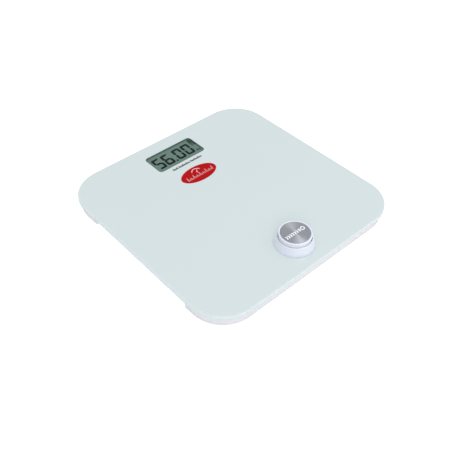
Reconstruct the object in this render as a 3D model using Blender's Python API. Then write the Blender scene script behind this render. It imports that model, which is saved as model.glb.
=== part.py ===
"""Battery-free digital body scale: a square tempered-glass platform bonded to a plastic base
tray, four load-cell feet, a liquid crystal display under the glass, and a press knob whose
rack drives a small gear train and magnet rotor, which powers the display.

Units in the constants are millimetres; the model itself is in metres. +Z is up, +Y points from
the knob (front) to the display (back), +X is right, and the origin is on the floor under the
middle of the platform. In names, Z0 and Z1 are the lower and upper ends of a piece.
"""

import math

import bpy
import bmesh
from mathutils import Vector
from mathutils.geometry import tessellate_polygon

MM = 0.001

# ---------------------------------------------------------------- driving dimensions
PLATFORM = 300.0          # side of the square glass
CORNER_R = 47.0           # corner radius of the glass, in plan
CORNER_STEPS = 10
GLASS_T = 6.0
GLASS_Z0 = 15.0
GLASS_TOP = GLASS_Z0 + GLASS_T

TRAY_Z0, TRAY_Z1 = 3.2, 14.0
TRAY_TOP_IN = 1.8         # rim is this far inside the glass edge
TRAY_BOT_IN = 2.8         # foot of the skirt is this far inside the glass edge
TRAY_WALL = 2.4
TRAY_FLOOR = 2.0
FLOOR_Z = TRAY_Z0 + TRAY_FLOOR   # upper face of the tray floor

KNOB_Y = -112.0           # knob axis
KNOB_TOP = GLASS_TOP + 17.0

FOOT_XY = 110.0           # feet are at +-FOOT_XY
FEET = {"front_left": (-1, -1), "front_right": (1, -1), "back_left": (-1, 1), "back_right": (1, 1)}

BUTTON_XY = (0.0, 74.0)
COLLAR_SCREW_CIRCLE_R = 17.6
COLLAR_SCREWS = [(COLLAR_SCREW_CIRCLE_R * math.cos(math.radians(a)),
                  KNOB_Y + COLLAR_SCREW_CIRCLE_R * math.sin(math.radians(a)))
                 for a in (22, 158, 270)]
COLLAR_SCREW_Z1 = 15.9    # top of the collar screws and of their wells
BOARD_SCREWS = {"left": (-50.5, 94.0), "right": (50.5, 94.0)}

for old in list(bpy.data.objects):
    bpy.data.objects.remove(old, do_unlink=True)


# ---------------------------------------------------------------- materials
def material(name, colour, roughness, metallic=0.0):
    mat = bpy.data.materials.new(name)
    mat.use_nodes = True
    shader = mat.node_tree.nodes["Principled BSDF"]
    shader.inputs["Base Color"].default_value = (*colour, 1.0)
    shader.inputs["Roughness"].default_value = roughness
    shader.inputs["Metallic"].default_value = metallic
    return mat


MAT_GLASS = material("platform_glass", colour=(0.69, 0.77, 0.78), roughness=0.08)
MAT_TRAY = material("tray_plastic", colour=(0.86, 0.86, 0.88), roughness=0.42)
MAT_KNOB = material("knob_plastic", colour=(0.86, 0.87, 0.93), roughness=0.25)
MAT_SPUN = material("spun_metal", colour=(0.55, 0.56, 0.58), roughness=0.30, metallic=1.0)
MAT_RUBBER = material("foot_rubber", colour=(0.75, 0.75, 0.74), roughness=0.85)
MAT_STEEL = material("steel", colour=(0.60, 0.60, 0.60), roughness=0.35, metallic=1.0)
MAT_BRIGHT = material("plated_steel", colour=(0.75, 0.75, 0.75), roughness=0.20, metallic=1.0)
MAT_TAPE = material("tape", colour=(0.20, 0.20, 0.21), roughness=0.90)
MAT_LCD = material("lcd", colour=(0.24, 0.34, 0.30), roughness=0.20)
MAT_BOARD = material("board", colour=(0.05, 0.25, 0.12), roughness=0.45)
MAT_BLACK = material("black_plastic", colour=(0.03, 0.03, 0.03), roughness=0.50)
MAT_GEAR = material("gear_plastic", colour=(0.85, 0.82, 0.70), roughness=0.40)
MAT_COPPER = material("copper", colour=(0.72, 0.36, 0.18), roughness=0.35, metallic=1.0)
MAT_MAGNET = material("magnet", colour=(0.18, 0.18, 0.19), roughness=0.40, metallic=0.6)
MAT_CABLE = material("cable_sleeve", colour=(0.70, 0.70, 0.70), roughness=0.60)
MAT_LABEL = material("label", colour=(0.70, 0.71, 0.72), roughness=0.50)


# ---------------------------------------------------------------- outlines
def circle(radius, steps, cx=0.0, cy=0.0, phase=0.0):
    return [(cx + radius * math.cos(2 * math.pi * i / steps + phase),
             cy + radius * math.sin(2 * math.pi * i / steps + phase)) for i in range(steps)]


def rounded_rect(half_x, half_y, radius, steps, cx=0.0, cy=0.0):
    """Counter-clockwise rounded rectangle, starting at the +X +Y corner; steps are per corner."""
    points = []
    for k, (sx, sy) in enumerate(((1, 1), (-1, 1), (-1, -1), (1, -1))):
        for i in range(steps + 1):
            angle = math.pi / 2 * (k + i / steps)
            points.append((cx + sx * (half_x - radius) + radius * math.cos(angle),
                           cy + sy * (half_y - radius) + radius * math.sin(angle)))
    return points


def area(points):
    """Signed area, positive when counter-clockwise."""
    return sum(a[0] * b[1] - b[0] * a[1] for a, b in zip(points, points[1:] + points[:1])) / 2


def ccw(points):
    return points if area(points) > 0 else points[::-1]


def platform_outline(inset):
    half = PLATFORM / 2 - inset
    return rounded_rect(half, half, CORNER_R - inset, CORNER_STEPS)


# ---------------------------------------------------------------- mesh helpers
def ring(bm, points, z):
    return [bm.verts.new((p[0], p[1], z)) for p in points]


def wall(bm, lower, upper):
    count = len(lower)
    for i in range(count):
        j = (i + 1) % count
        bm.faces.new((lower[i], lower[j], upper[j], upper[i]))


def loft(bm, sections):
    """Walls through (outline, z) sections; returns the rings of vertices."""
    rings = [ring(bm, outline, z) for outline, z in sections]
    for lower, upper in zip(rings, rings[1:]):
        wall(bm, lower, upper)
    return rings


def hole_walls(bm, holes, z0, z1):
    """Straight walls of the holes; returns their lower rings and their upper rings."""
    lower = [ring(bm, hole, z0) for hole in holes]
    upper = [ring(bm, hole, z1) for hole in holes]
    for low, high in zip(lower, upper):
        wall(bm, low, high)
    return lower, upper


def cap(bm, loops):
    """Flat face inside loops[0] and outside the other loops; the loops hold bmesh vertices."""
    flat = [v for loop in loops for v in loop]
    for triangle in tessellate_polygon([[v.co for v in loop] for loop in loops]):
        corners = [flat[i] for i in triangle]
        if len(set(corners)) == 3:
            # guards against the tessellator giving the same triangle twice
            try:
                bm.faces.new(corners)
            except ValueError:
                pass


def add_object(name, data, location, parent=None):
    """Links an object at a place given in the scene's frame; parents are unrotated empties."""
    obj = bpy.data.objects.new(name, data)
    bpy.context.scene.collection.objects.link(obj)
    obj.location = Vector(location) * MM
    if parent is not None:
        obj.parent = parent
        obj.location = Vector(location) * MM - parent.location
    return obj


def finish(bm, name, mat, location=(0, 0, 0), parent=None, smooth=0, axis="z"):
    """Makes the object. Axis "x" maps x, y, z to Y, Z, X. Smooth is the angle in degrees above
    which edges stay sharp; 0 leaves the faces flat."""
    for v in bm.verts:
        x, y, z = v.co
        v.co = Vector((x, y, z) if axis == "z" else (z, x, y)) * MM
    bmesh.ops.remove_doubles(bm, verts=bm.verts, dist=1e-7)
    bmesh.ops.recalc_face_normals(bm, faces=bm.faces)
    if bm.calc_volume(signed=True) < 0:
        bmesh.ops.reverse_faces(bm, faces=bm.faces)
    mesh = bpy.data.meshes.new(name)
    bm.to_mesh(mesh)
    bm.free()
    if smooth:
        mesh.shade_smooth()
        mesh.set_sharp_from_angle(angle=math.radians(smooth))
    mesh.materials.append(mat)
    return add_object(name, mesh, location, parent)


def stack(name, mat, levels, holes=(), **placing):
    """Levels are (outline, z0, z1) one on the other; each outline lies wholly inside or outside
    the next one. Holes run through all levels."""
    bm = bmesh.new()
    lower_holes, upper_holes = hole_walls(bm, holes, levels[0][1], levels[-1][2])
    below = below_area = None
    for outline, z0, z1 in levels:
        outline = ccw(list(outline))
        low, high = loft(bm, [(outline, z0), (outline, z1)])
        if below is None:
            cap(bm, [low] + lower_holes)
        else:
            cap(bm, [below, low] if below_area > area(outline) else [low, below])
        below, below_area = high, area(outline)
    cap(bm, [below] + upper_holes)
    return finish(bm, name, mat, **placing)


def plate(name, mat, outline, z0, z1, holes=(), **placing):
    return stack(name, mat, [(outline, z0, z1)], holes, **placing)


def turned(name, mat, profile, steps, location, closed=False, smooth=35, **placing):
    """Turns (r, z) points about Z. An open profile starts and ends on the axis; a closed one
    is a ring."""
    bm = bmesh.new()
    rings = [ring(bm, circle(r, steps) if r > 0 else [(0, 0)], z) for r, z in profile]
    for a, b in zip(rings, rings[1:] + (rings[:1] if closed else [])):
        for i in range(steps):
            j = (i + 1) % steps
            if len(a) == 1:
                bm.faces.new((a[0], b[j], b[i]))
            elif len(b) == 1:
                bm.faces.new((a[i], a[j], b[0]))
            else:
                bm.faces.new((a[i], a[j], b[j], b[i]))
    return finish(bm, name, mat, location, smooth=smooth, **placing)


def sweep(name, mat, points, radius, location=(0, 0, 0), bezier=True):
    """Round cable or wire along points, as a curve with a bevel and filled caps."""
    curve = bpy.data.curves.new(name, "CURVE")
    curve.dimensions = "3D"
    curve.bevel_depth = radius * MM
    curve.bevel_resolution = 1
    curve.use_fill_caps = True
    curve.resolution_u = 4
    spline = curve.splines.new("BEZIER" if bezier else "POLY")
    if bezier:
        spline.bezier_points.add(len(points) - 1)
        for knot, point in zip(spline.bezier_points, points):
            knot.co = Vector(point) * MM
            knot.handle_left_type = knot.handle_right_type = "AUTO"
    else:
        spline.points.add(len(points) - 1)
        for knot, point in zip(spline.points, points):
            knot.co = (*(Vector(point) * MM), 1.0)
    curve.materials.append(mat)
    return add_object(name, curve, location)


def boolean(obj, other, operation):
    """Joins or cuts with another object, which is hidden as it is no piece by itself."""
    other.hide_render = True
    other.display_type = "WIRE"
    modifier = obj.modifiers.new(operation.lower(), "BOOLEAN")
    modifier.operation = operation
    modifier.object = other


# ---------------------------------------------------------------- glass platform
GLASS_EDGE = 0.75         # rounding of the ground glass edge
GLASS_HOLE_R = 21.6
GLASS_HOLE_EDGE = 0.4     # chamfer of the knob hole

# (inset from the edge, z)
GLASS_PROFILE = [
    (GLASS_EDGE, GLASS_Z0), (GLASS_EDGE * 0.3, GLASS_Z0 + GLASS_EDGE * 0.3),
    (0, GLASS_Z0 + GLASS_EDGE), (0, GLASS_TOP - GLASS_EDGE),
    (GLASS_EDGE * 0.3, GLASS_TOP - GLASS_EDGE * 0.3), (GLASS_EDGE, GLASS_TOP)]
# (r, z)
GLASS_HOLE_PROFILE = [
    (GLASS_HOLE_R + GLASS_HOLE_EDGE, GLASS_Z0), (GLASS_HOLE_R, GLASS_Z0 + GLASS_HOLE_EDGE),
    (GLASS_HOLE_R, GLASS_TOP - GLASS_HOLE_EDGE), (GLASS_HOLE_R + GLASS_HOLE_EDGE, GLASS_TOP)]


def build_glass():
    bm = bmesh.new()
    outer = loft(bm, [(platform_outline(inset), z) for inset, z in GLASS_PROFILE])
    hole = loft(bm, [(circle(r, 36, 0, KNOB_Y), z) for r, z in GLASS_HOLE_PROFILE])
    cap(bm, [outer[0], hole[0]])
    cap(bm, [outer[-1], hole[-1]])
    finish(bm, "glass_platform", MAT_GLASS, smooth=40)


build_glass()

# ---------------------------------------------------------------- base tray
GRIP_Y0, GRIP_Y1 = -91.0, 84.4   # finger recess along both sides
GRIP_DEPTH = 12.0
GRIP_LEAD = 4.5           # length of the recess's curved ends
GRIP_STEPS = 4

FOOT_HOLE_R = 16.0
BUTTON_HOLE_R = 4.3
COLLAR_SCREW_HOLE_R = 3.2

# (inset from the glass edge, z), up the outside
SKIRT_PROFILE = [
    (TRAY_BOT_IN + 0.7, TRAY_Z0), (TRAY_BOT_IN + 0.2, TRAY_Z0 + 0.2),
    (TRAY_BOT_IN, TRAY_Z0 + 0.7), (TRAY_TOP_IN, TRAY_Z1 - 0.5), (TRAY_TOP_IN + 0.5, TRAY_Z1)]

# (r, z) of the tube round each collar screw, with a wider seat for the head
SCREW_WELL_PROFILE = [
    (3.0, 4.7), (3.9, 4.7), (3.9, 6.9), (2.8, 6.9),
    (2.8, COLLAR_SCREW_Z1), (1.75, COLLAR_SCREW_Z1), (1.75, 5.9), (3.0, 5.9)]

BOARD_POST_Z1 = 8.3
PLAIN_POST_X, PLAIN_POST_Y = 40.0, 120.0
BOSS_SINK = 0.5           # posts and ribs start this far down in the floor
SCREW_POST_SINK = 0.4
RIB_HALF_T = 0.8
# on the right side, mirrored to the left
CROSS_RIBS = [            # (x0, x1, y)
    (26.0, 82.0, -110.0), (26.0, 84.0, -128.0), (60.0, 79.0, 112.0),
    (24.0, 124.0, -60.0), (24.0, 124.0, 45.0)]
CROSS_RIB_Z1 = 11.5
LONG_RIBS = [(-78.0, 64.0, 70.0), (-78.0, 64.0, 22.5)]    # (y0, y1, x)
LONG_RIB_Z1 = 11.0
MID_RIB_HALF, MID_RIB_Y, MID_RIB_Z1 = 110.0, -8.0, 11.2

POCKET_HALF_X, POCKET_HALF_Y, POCKET_Y = 34.2, 20.2, 20.0
LABEL_CLEARANCE = 0.3


def tray_outline(inset, grip=0.0):
    """Rounded square with a finger recess on the left and right sides, each end of which is
    moved outward along Y by grip."""
    half = PLATFORM / 2 - inset
    recess = []           # up the right side
    for y, first, sign in ((GRIP_Y0 - grip, 0.0, -1), (GRIP_Y1 + grip, -GRIP_LEAD, 1)):
        for k in range(GRIP_STEPS + 1):
            t = k / GRIP_STEPS
            depth = GRIP_DEPTH * (0.5 + sign * 0.5 * math.cos(math.pi * t))
            recess.append((half - depth, y + first + GRIP_LEAD * t))
    corners = platform_outline(inset)
    back = corners[:2 * (CORNER_STEPS + 1)]
    front = corners[2 * (CORNER_STEPS + 1):]
    return recess + back + [(-x, y) for x, y in recess[::-1]] + front


def tray_floor_holes():
    """Each hole is turned a little differently, so that no two corners share a coordinate."""
    holes = [circle(FOOT_HOLE_R, 28, sx * FOOT_XY, sy * FOOT_XY, 0.02 + 0.017 * i)
             for i, (sx, sy) in enumerate(FEET.values())]
    holes.append(circle(BUTTON_HOLE_R, 20, *BUTTON_XY, 0.03))
    holes += [circle(COLLAR_SCREW_HOLE_R, 12, x, y, 0.05 + 0.07 * i)
              for i, (x, y) in enumerate(COLLAR_SCREWS)]
    return holes


def tray_shell():
    bm = bmesh.new()
    outer = loft(bm, [(tray_outline(inset), z) for inset, z in SKIRT_PROFILE])
    inner_in = TRAY_TOP_IN + TRAY_WALL
    inner = loft(bm, [(tray_outline(inner_in, TRAY_WALL - 0.6), TRAY_Z1),
                      (tray_outline(inner_in + 0.4, TRAY_WALL - 0.2), FLOOR_Z)])
    wall(bm, outer[-1], inner[0])
    lower, upper = hole_walls(bm, tray_floor_holes(), TRAY_Z0, FLOOR_Z)
    cap(bm, [outer[0]] + lower)
    cap(bm, [inner[1]] + upper)
    return finish(bm, "base_tray", MAT_TRAY, smooth=40)


def rib_outline(half_x, half_y, cx, cy):
    return rounded_rect(half_x, half_y, 0.3, 1, cx, cy)


def tray_bosses():
    """(outline, z0, z1, holes) of the posts and ribs."""
    z0 = FLOOR_Z - BOSS_SINK
    bosses = [(circle(2.8, 12, x, y), FLOOR_Z - SCREW_POST_SINK, BOARD_POST_Z1,
               [circle(1.05, 8, x, y)]) for x, y in BOARD_SCREWS.values()]
    for sx in (-1, 1):
        post = circle(1.8, 10, sx * PLAIN_POST_X, PLAIN_POST_Y)
        bosses.append((post, z0, BOARD_POST_Z1, ()))
        for x0, x1, y in CROSS_RIBS:
            rib = rib_outline((x1 - x0) / 2, RIB_HALF_T, sx * (x0 + x1) / 2, y)
            bosses.append((rib, z0, CROSS_RIB_Z1, ()))
        for y0, y1, x in LONG_RIBS:
            rib = rib_outline(RIB_HALF_T, (y1 - y0) / 2, sx * x, (y0 + y1) / 2)
            bosses.append((rib, z0, LONG_RIB_Z1, ()))
    middle_rib = rib_outline(MID_RIB_HALF, RIB_HALF_T, 0.0, MID_RIB_Y)
    bosses.append((middle_rib, z0, MID_RIB_Z1, ()))
    return bosses


def build_tray():
    tray = tray_shell()
    for i, (x, y) in enumerate(COLLAR_SCREWS):
        well = turned(f"screw_well_{i + 1}", MAT_TRAY, SCREW_WELL_PROFILE, 12, (x, y, 0),
                      closed=True)
        boolean(tray, well, "UNION")
    for i, (outline, z0, z1, holes) in enumerate(tray_bosses()):
        boolean(tray, plate(f"boss_{i + 1}", MAT_TRAY, outline, z0, z1, holes), "UNION")
    # shallow pocket for the rating label, cut from below
    pocket = plate("label_pocket", MAT_TRAY,
                   rounded_rect(POCKET_HALF_X, POCKET_HALF_Y, 2.2, 4, 0, POCKET_Y),
                   TRAY_Z0 - 1.0, TRAY_Z0 + 0.6)
    boolean(tray, pocket, "DIFFERENCE")


def build_label():
    outline = rounded_rect(POCKET_HALF_X - LABEL_CLEARANCE, POCKET_HALF_Y - LABEL_CLEARANCE,
                           2.0, 4, 0, POCKET_Y)
    plate("rating_label", MAT_LABEL, outline, TRAY_Z0 + 0.1, TRAY_Z0 + 0.35)


build_tray()
build_label()

# ---------------------------------------------------------------- bonding tape
TAPE_T = 0.8
TAPE_Z0 = TRAY_Z1 + 0.1
plate("bonding_tape", MAT_TAPE, tray_outline(TRAY_TOP_IN + 0.9, 0.6), TAPE_Z0, TAPE_Z0 + TAPE_T,
      [tray_outline(TRAY_TOP_IN + 2.3, 1.6)])

# ---------------------------------------------------------------- holders, load cells and feet
HOLDER_HALF = 20.5
HOLDER_POCKET_HALF = 17.5
HOLDER_EYE_R = 9.0
HOLDER_Z0 = FLOOR_Z + 0.3
HOLDER_PLATE_Z0, HOLDER_Z1 = 13.2, 14.7

CELL_HALF = 17.0
CELL_Z0, CELL_T = 10.4, 2.5
CELL_SCREW_XY = 14.2
CELL_SCREW_EYE_R = 1.6
# U slot outline (x, y): half width 11, slot 2 wide, open end at y 8.5
U_SLOT = [(-11, -12), (11, -12), (11, 8.5), (9, 8.5), (9, -10), (-9, -10), (-9, 8.5), (-11, 8.5)]

FLANGE_Z0, FLANGE_Z1 = FLOOR_Z + 0.3, FLOOR_Z + 1.1
# (outline, z0, z1): two steps of the body, flange caught above the floor, pip under the cell
FOOT_LEVELS = [
    (circle(12.9, 28), 1.6, 2.1), (circle(15.6, 28), 2.1, FLANGE_Z0),
    (circle(17.1, 28), FLANGE_Z0, FLANGE_Z1), (circle(4.0, 10), FLANGE_Z1, CELL_Z0 - 0.5)]
# (r, z): disc with a low rim
FOOT_PAD_PROFILE = [
    (0, 0.0), (12.6, 0.0), (13.2, 0.3), (13.4, 0.7), (13.4, 1.8), (13.05, 1.8), (13.05, 1.45),
    (0, 1.45)]


def build_holder(name, sx, place):
    """Downward cup with an eye in its top plate and a slot for the cable in the wall that
    faces the middle of the scale."""
    bm = bmesh.new()
    outline = rounded_rect(HOLDER_HALF, HOLDER_HALF, 4.0, 4)
    pocket_outline = rounded_rect(HOLDER_POCKET_HALF, HOLDER_POCKET_HALF, 1.5, 3)
    eye_outline = circle(HOLDER_EYE_R, 16)
    outer = loft(bm, [(outline, HOLDER_Z0), (outline, HOLDER_Z1)])
    pocket = loft(bm, [(pocket_outline, HOLDER_Z0), (pocket_outline, HOLDER_PLATE_Z0)])
    eye = loft(bm, [(eye_outline, HOLDER_PLATE_Z0), (eye_outline, HOLDER_Z1)])
    cap(bm, [outer[0], pocket[0]])
    cap(bm, [pocket[1], eye[0]])
    cap(bm, [outer[1], eye[1]])
    holder = finish(bm, f"cell_holder_{name}", MAT_TRAY, place)
    slot = plate(f"slot_{name}", MAT_TRAY, rounded_rect(4.0, 1.6, 0.4, 1, -sx * 19.5, 0),
                 FLOOR_Z - 1.0, 10.3, location=place)
    boolean(holder, slot, "DIFFERENCE")


def build_load_cell(name, sy, place):
    """Square plate with a U slot round the loaded tongue; the closed side of the U is the one
    nearer the middle of the scale."""
    slot = ccw([(x, y * sy) for x, y in U_SLOT])
    eyes = [circle(CELL_SCREW_EYE_R, 8, ex * CELL_SCREW_XY, ey * CELL_SCREW_XY)
            for ex, ey in FEET.values()]
    plate(f"load_cell_{name}", MAT_STEEL, rounded_rect(CELL_HALF, CELL_HALF, 3.0, 4),
          CELL_Z0, CELL_Z0 + CELL_T, [slot] + eyes, location=place)


def build_foot(name, place):
    foot_axis = add_object(f"foot_axis_{name}", None, place)
    stack(f"foot_{name}", MAT_TRAY, FOOT_LEVELS, location=place, parent=foot_axis, smooth=35)
    turned(f"foot_pad_{name}", MAT_RUBBER, FOOT_PAD_PROFILE, 28, place, parent=foot_axis)


for foot_name, (side_x, side_y) in FEET.items():
    foot_place = (side_x * FOOT_XY, side_y * FOOT_XY, 0)
    build_holder(foot_name, side_x, foot_place)
    build_load_cell(foot_name, side_y, foot_place)
    build_foot(foot_name, foot_place)

# ---------------------------------------------------------------- display
DISPLAY_Y = 110.2
ZEBRA_Y = DISPLAY_Y - 18.6

plate("lcd_panel", MAT_LCD, rounded_rect(40.0, 20.5, 0.6, 2, 0, DISPLAY_Y), 12.1, 14.6)
plate("display_frame", MAT_BLACK, rounded_rect(43.0, 23.5, 2.0, 3, 0, DISPLAY_Y), 10.6, 14.7,
      [rounded_rect(40.3, 20.8, 0.8, 2, 0, DISPLAY_Y)])
plate("zebra_strip", MAT_BLACK, rounded_rect(36.0, 1.25, 0.3, 1, 0, ZEBRA_Y), 10.35, 11.95)

# ---------------------------------------------------------------- board and its parts
BOARD_Y = 100.0
BOARD_Z0, BOARD_Z1 = 8.6, 10.2
BLOB_XY = (-22.0, 76.5)
RECTIFIER_XY = (8.0, 76.5)
CAPACITOR_PLACE = (32.0, 60.0, 9.6)
BOARD_SCREW_HEAD_Z0 = 10.5

# (r, z)
BLOB_PROFILE = [(0, 10.35), (5.6, 10.35), (5.2, 10.9), (3.9, 11.4), (2.0, 11.7), (0, 11.8)]
# (r, x from the middle): can with a groove near one end
CAPACITOR_PROFILE = [
    (0, -7.0), (3.6, -7.0), (4.0, -6.6), (4.0, 4.6), (3.7, 5.0), (3.7, 5.5), (4.0, 5.9),
    (4.0, 6.6), (3.6, 7.0), (0, 7.0)]

plate("main_board", MAT_BOARD, rounded_rect(56.0, 32.0, 2.0, 3, 0, BOARD_Y), BOARD_Z0, BOARD_Z1,
      [circle(1.5, 12, x, y) for x, y in BOARD_SCREWS.values()])
turned("processor_blob", MAT_BLACK, BLOB_PROFILE, 24, (*BLOB_XY, 0))
plate("rectifier", MAT_BLACK, rounded_rect(3.2, 2.4, 0.4, 1, *RECTIFIER_XY), 10.4, 12.4)
turned("reservoir_capacitor", MAT_BLACK, CAPACITOR_PROFILE, 20, CAPACITOR_PLACE, axis="x")
for side, (x, y) in BOARD_SCREWS.items():
    stack(f"board_screw_{side}", MAT_BRIGHT,
          [(circle(0.85, 8), 5.6, BOARD_SCREW_HEAD_Z0),
           (circle(2.4, 12), BOARD_SCREW_HEAD_Z0, 11.9)], location=(x, y, 0), smooth=35)

# ---------------------------------------------------------------- unit button
BUTTON_FLANGE_Z0, BUTTON_FLANGE_Z1 = FLOOR_Z + 0.3, FLOOR_Z + 0.9
# (outline, z0, z1): stepped face below, flange above the floor, pip under the switch
BUTTON_LEVELS = [
    (circle(3.6, 20), 3.3, 3.6), (circle(4.0, 20), 3.6, BUTTON_FLANGE_Z0),
    (circle(5.2, 20), BUTTON_FLANGE_Z0, BUTTON_FLANGE_Z1),
    (circle(1.5, 12), BUTTON_FLANGE_Z1, 6.4)]

plate("tact_switch", MAT_BLACK, rounded_rect(3.0, 3.0, 0.4, 1, *BUTTON_XY), 7.4, 8.3)
button_axis = add_object("button_axis", None, (*BUTTON_XY, 0))
stack("unit_button", MAT_KNOB, BUTTON_LEVELS, location=(*BUTTON_XY, 0), parent=button_axis,
      smooth=35)

# ---------------------------------------------------------------- knob collar
KNOB_PLACE = (0, KNOB_Y, 0)
COLLAR_R_TOP = 21.3
COLLAR_R_BOT = 24.3
COLLAR_BORE = 20.25
COLLAR_NECK_R = 21.25     # outside radius where the collar passes through the glass
COLLAR_LIP_Z = GLASS_TOP + 11.6
FLANGE_R = 14.8           # inner radius of the flange at the collar's foot
COLLAR_FLANGE_Z0, COLLAR_FLANGE_Z1 = 16.2, 17.6
COLLAR_SCREW_HEAD_Z1 = 5.6

# (r, z): up the outside, over the lip, down the bore, round the flange and up to the rim
COLLAR_PROFILE = [
    (COLLAR_R_BOT - 0.2, GLASS_TOP + 0.2), (COLLAR_R_BOT, GLASS_TOP + 0.4),
    (COLLAR_R_BOT, GLASS_TOP + 1.5), (23.9, GLASS_TOP + 3.4), (23.2, GLASS_TOP + 5.6),
    (22.45, GLASS_TOP + 7.9), (21.75, GLASS_TOP + 10.1), (COLLAR_R_TOP, COLLAR_LIP_Z - 0.55),
    (21.05, COLLAR_LIP_Z - 0.12), (20.75, COLLAR_LIP_Z),
    (COLLAR_BORE + 0.1, COLLAR_LIP_Z - 0.25), (COLLAR_BORE, COLLAR_LIP_Z - 0.7),
    (COLLAR_BORE, COLLAR_FLANGE_Z1), (FLANGE_R, COLLAR_FLANGE_Z1), (FLANGE_R, COLLAR_FLANGE_Z0),
    (COLLAR_NECK_R, COLLAR_FLANGE_Z0), (COLLAR_NECK_R, GLASS_TOP + 0.7),
    (23.5, GLASS_TOP + 0.7), (23.5, GLASS_TOP + 0.2)]
# (r, z)
SEAL_PROFILE = [(21.8, GLASS_TOP + 0.1), (23.2, GLASS_TOP + 0.1),
                (23.2, GLASS_TOP + 0.55), (21.8, GLASS_TOP + 0.55)]

turned("knob_collar", MAT_KNOB, COLLAR_PROFILE, 36, KNOB_PLACE, closed=True)
turned("collar_seal", MAT_TAPE, SEAL_PROFILE, 36, KNOB_PLACE, closed=True)
for i, (x, y) in enumerate(COLLAR_SCREWS):
    stack(f"collar_screw_{i + 1}", MAT_BRIGHT,
          [(circle(2.6, 12), 4.2, COLLAR_SCREW_HEAD_Z1),
           (circle(1.4, 8), COLLAR_SCREW_HEAD_Z1, COLLAR_SCREW_Z1)],
          location=(x, y, 0), smooth=35)

# ---------------------------------------------------------------- press knob
CAP_R = 19.9
SKIRT_R, SKIRT_BORE = 19.35, 17.2
CAP_Z0 = 25.6
DISC_R = 17.7

# (r, z): recess for the disc, rounded rim, then the hollow skirt
CAP_PROFILE = [
    (0, KNOB_TOP - 1.4), (17.95, KNOB_TOP - 1.4), (17.95, KNOB_TOP - 0.25), (18.3, KNOB_TOP),
    (19.2, KNOB_TOP - 0.05), (19.7, KNOB_TOP - 0.35), (CAP_R, KNOB_TOP - 0.9),
    (CAP_R, KNOB_TOP - 2.6), (19.75, KNOB_TOP - 3.0), (SKIRT_R, KNOB_TOP - 3.2),
    (SKIRT_R, CAP_Z0), (SKIRT_BORE, CAP_Z0), (SKIRT_BORE, KNOB_TOP - 2.6), (0, KNOB_TOP - 2.6)]
# (r, z)
DISC_PROFILE = [
    (0, KNOB_TOP - 1.3), (DISC_R - 0.1, KNOB_TOP - 1.3), (DISC_R, KNOB_TOP - 1.1),
    (DISC_R, KNOB_TOP - 0.45), (DISC_R - 0.3, KNOB_TOP - 0.2), (0, KNOB_TOP - 0.2)]

knob_axis = add_object("knob_axis", None, (0, KNOB_Y, KNOB_TOP))
turned("knob_cap", MAT_KNOB, CAP_PROFILE, 36, KNOB_PLACE, parent=knob_axis)
turned("knob_disc", MAT_SPUN, DISC_PROFILE, 36, KNOB_PLACE, parent=knob_axis)

# ---------------------------------------------------------------- gears
GEAR_MODULE = 0.5
PRESSURE_ANGLE = math.radians(20)
BACKLASH = 0.06           # taken off each tooth's thickness
FIRST_PINION_TEETH, FIRST_WHEEL_TEETH = 12, 32     # the rack drives this pinion
SECOND_PINION_TEETH, SECOND_WHEEL_TEETH = 10, 28
ROTOR_PINION_TEETH = 10
WHEEL_ADDENDUM, WHEEL_DEDENDUM = 0.33, 0.62
PINION_ADDENDUM, PINION_DEDENDUM = 0.48, 0.50
GEAR_BORE = 0.88
AXLE_R, AXLE_HALF = 0.75, 7.4
# (y from the knob axis, z); the shafts lie along X
FIRST_SHAFT = (-3.6, 17.2)
SECOND_SHAFT = (6.3, 13.7)
ROTOR_SHAFT = (15.3, 10.69)


def involute(base_r, r):
    """Involute function of the pressure angle at radius r."""
    tangent = math.sqrt(max(0.0, (r / base_r) ** 2 - 1))
    return tangent - math.atan(tangent)


def gear_outline(teeth, phase, addendum, dedendum, steps):
    """Tooth outline with involute flanks; phase is the angle of a tooth's centre line."""
    pitch_r = GEAR_MODULE * teeth / 2
    base_r = pitch_r * math.cos(PRESSURE_ANGLE)
    tip_r, root_r = pitch_r + addendum, pitch_r - dedendum
    flank_r = max(root_r, base_r * 0.999)
    half_angle = (math.pi * GEAR_MODULE / 2 - BACKLASH) / 2 / pitch_r
    flank = []            # (radius, angle from the tooth's centre line), root to tip
    for k in range(steps + 1):
        r = flank_r + (tip_r - flank_r) * k / steps
        inv = involute(base_r, r) if r > base_r else 0.0
        flank.append((r, half_angle + involute(base_r, pitch_r) - inv))
    if root_r < flank_r - 1e-6:
        flank.insert(0, (root_r, flank[0][1] + 0.01))
    points = []
    for k in range(teeth):
        centre = phase + 2 * math.pi * k / teeth
        points += [(r * math.cos(centre - d), r * math.sin(centre - d)) for r, d in flank]
        points += [(r * math.cos(centre + d), r * math.sin(centre + d)) for r, d in flank[::-1]]
    return points


def wheel(teeth, toward):
    """Wheel with a tooth pointing at the angle of its mate."""
    return gear_outline(teeth, toward, WHEEL_ADDENDUM, WHEEL_DEDENDUM, 1)


def pinion(teeth, away):
    """Pinion with a gap pointing at its mate; away is the angle from the mate to it."""
    return gear_outline(teeth, away + math.pi + math.pi / teeth, PINION_ADDENDUM,
                        PINION_DEDENDUM, 2)


def direction(start, end):
    return math.atan2(end[1] - start[1], end[0] - start[0])


def shaft_place(shaft):
    return (0, KNOB_Y + shaft[0], shaft[1])


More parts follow.
